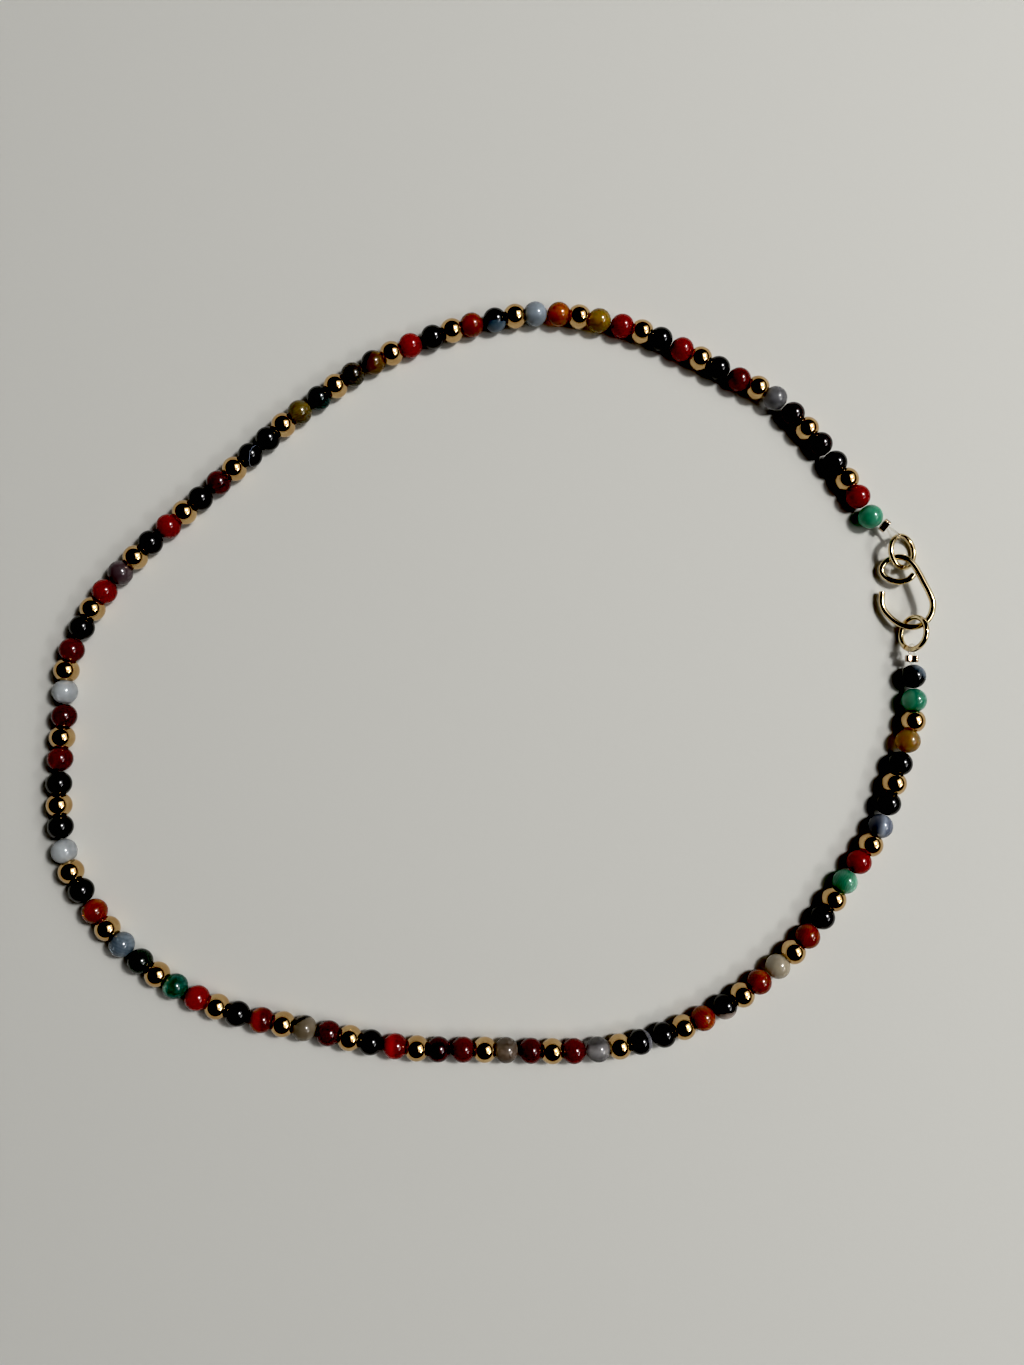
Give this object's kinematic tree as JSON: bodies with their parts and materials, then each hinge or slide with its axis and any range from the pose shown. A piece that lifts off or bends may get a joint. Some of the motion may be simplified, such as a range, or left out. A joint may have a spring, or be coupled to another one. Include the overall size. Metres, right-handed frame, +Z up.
{
  "type": "beaded necklace",
  "caption": "Fastened short necklace lying flat: round polished agate beads in pairs with hollow gold beads between, on clear thread, with a bent wire hook and jump rings.",
  "frame": {"origin": "middle of the outline, on the surface the beads rest on", "axes": "+X across the necklace towards the clasp, +Y along its shorter side, +Z up from the surface it lies on"},
  "size_m": [0.1462, 0.1262, 0.0058],
  "materials": {
    "agate_beads": "polished",
    "gold_beads": "polished",
    "gold_wire": "polished",
    "crimp_tube": "polished",
    "clear_thread": "clear"
  },
  "bodies": {
    "root": {"strand_01": "agate_beads", "strand_02": "agate_beads", "strand_03": "agate_beads", "strand_04": "agate_beads", "strand_05": "agate_beads", "strand_06": "agate_beads", "strand_07": "agate_beads", "strand_08": "agate_beads", "strand_09": "agate_beads", "strand_10": "agate_beads", "strand_11": "agate_beads", "strand_12": "agate_beads", "upper_crimp": "crimp_tube", "lower_crimp": "crimp_tube", "upper_thread_loop": "clear_thread", "lower_thread_loop": "clear_thread", "upper_jump_ring": "gold_wire", "lower_jump_ring": "gold_wire", "hook_clasp": "gold_wire"}
  },
  "joints": []
}
